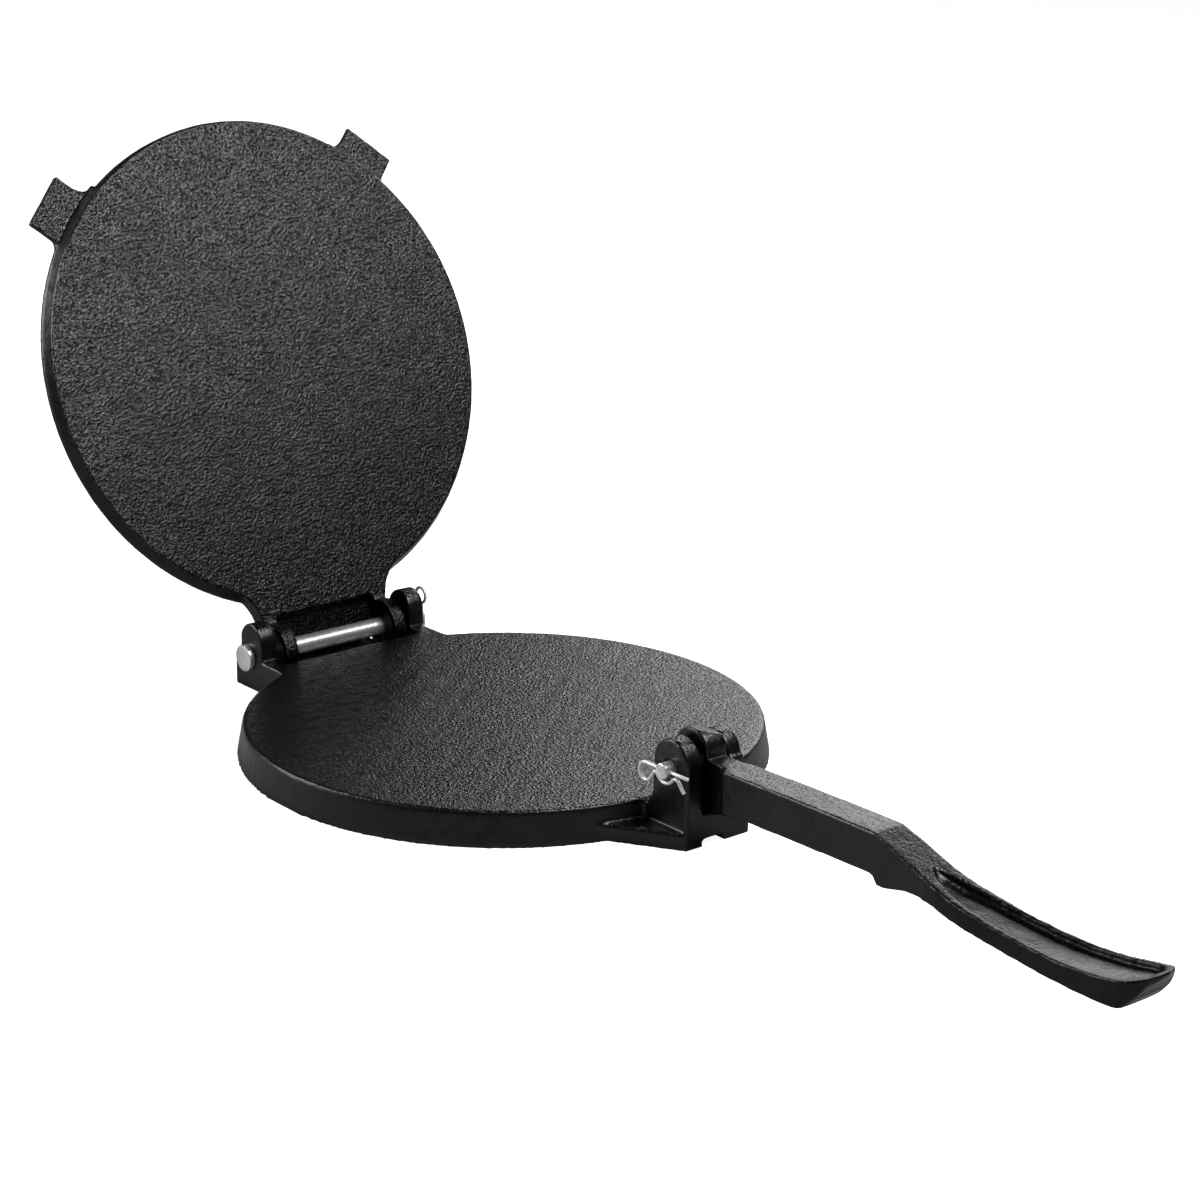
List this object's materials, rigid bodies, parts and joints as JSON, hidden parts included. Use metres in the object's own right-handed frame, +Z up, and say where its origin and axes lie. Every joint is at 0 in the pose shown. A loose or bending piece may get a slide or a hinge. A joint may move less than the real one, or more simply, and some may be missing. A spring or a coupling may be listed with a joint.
{
  "type": "tortilla press",
  "caption": "Cast-iron tortilla press: round base, hinged lid, pressing lever in a front fork, two steel pins held by spring clips.",
  "frame": {"origin": "on the table, under the middle of the round base plate", "axes": "+Z up, -Y towards the lever at the front, +Y towards the hinge, both pins along X"},
  "size_m": [0.2099, 0.5327, 0.2194],
  "materials": {
    "iron": "satin, pebbled from the mould, seasoned black",
    "steel": "bright turned",
    "zinc": "bright zinc plate"
  },
  "bodies": {
    "base": {"base_plate": "iron", "hinge_pin": "steel", "lever_pin": "steel", "hinge_clip": "zinc", "lever_clip": "zinc"},
    "lid": {"lid_plate": "iron"},
    "lever": {"lever": "iron"}
  },
  "joints": [
    {"name": "lid_hinge", "type": "hinge", "parent": "base", "child": "lid", "pos_m": [0, 0.1178, 0.0134], "axis": [1, 0, 0], "range_deg": [0, 110.7]},
    {"name": "lever_hinge", "type": "hinge", "parent": "base", "child": "lever", "pos_m": [-0.0018, -0.1146, 0.029], "axis": [-1, 0, 0], "range_deg": [0, 180]}
  ]
}
